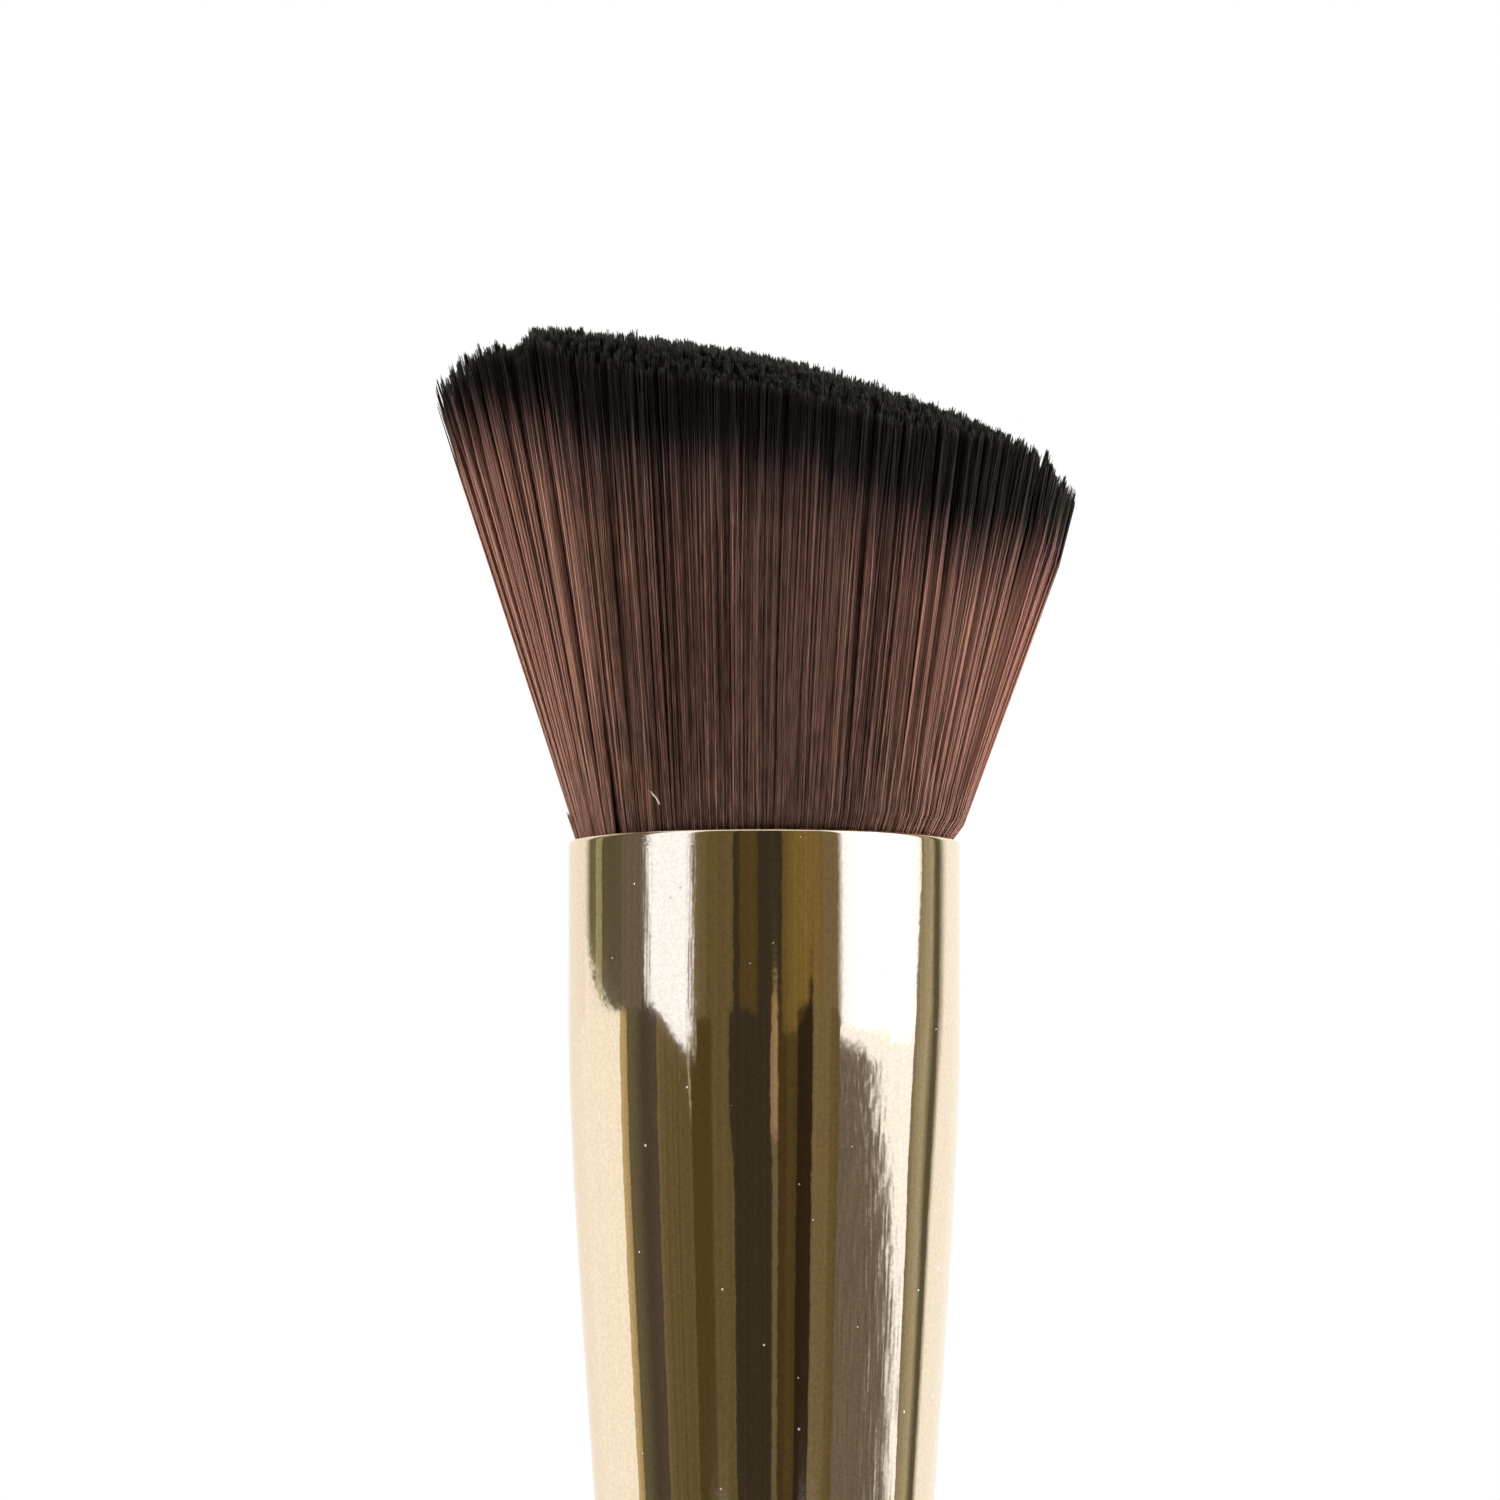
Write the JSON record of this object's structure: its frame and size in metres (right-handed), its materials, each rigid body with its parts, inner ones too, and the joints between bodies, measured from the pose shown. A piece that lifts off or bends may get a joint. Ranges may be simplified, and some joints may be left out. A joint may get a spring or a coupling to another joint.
{
  "type": "kabuki makeup brush",
  "caption": "Slant-topped kabuki makeup brush with flared bristles, a tapered metal ferrule and a turned handle that stands on its flat tail.",
  "frame": {"origin": "centre of the flat face at the handle's tail", "axes": "+Z along the brush's axis from the tail to the bristles, +X towards the low end of the slanted head"},
  "size_m": [0.0338, 0.0333, 0.157],
  "materials": {
    "bristles": "fine synthetic hair, brown with black dipped tips",
    "thread": "wound cotton thread",
    "resin": "cast epoxy resin",
    "gold_metal": "mirror polished, anodised pale gold",
    "glue": "set glue",
    "black_wood": "turned birch under high-gloss black lacquer"
  },
  "bodies": {
    "root": {"bristle_bundle": "bristles", "binding_thread": "thread", "root_resin": "resin", "ferrule": "gold_metal", "handle_glue": "glue", "handle": "black_wood"}
  },
  "joints": []
}
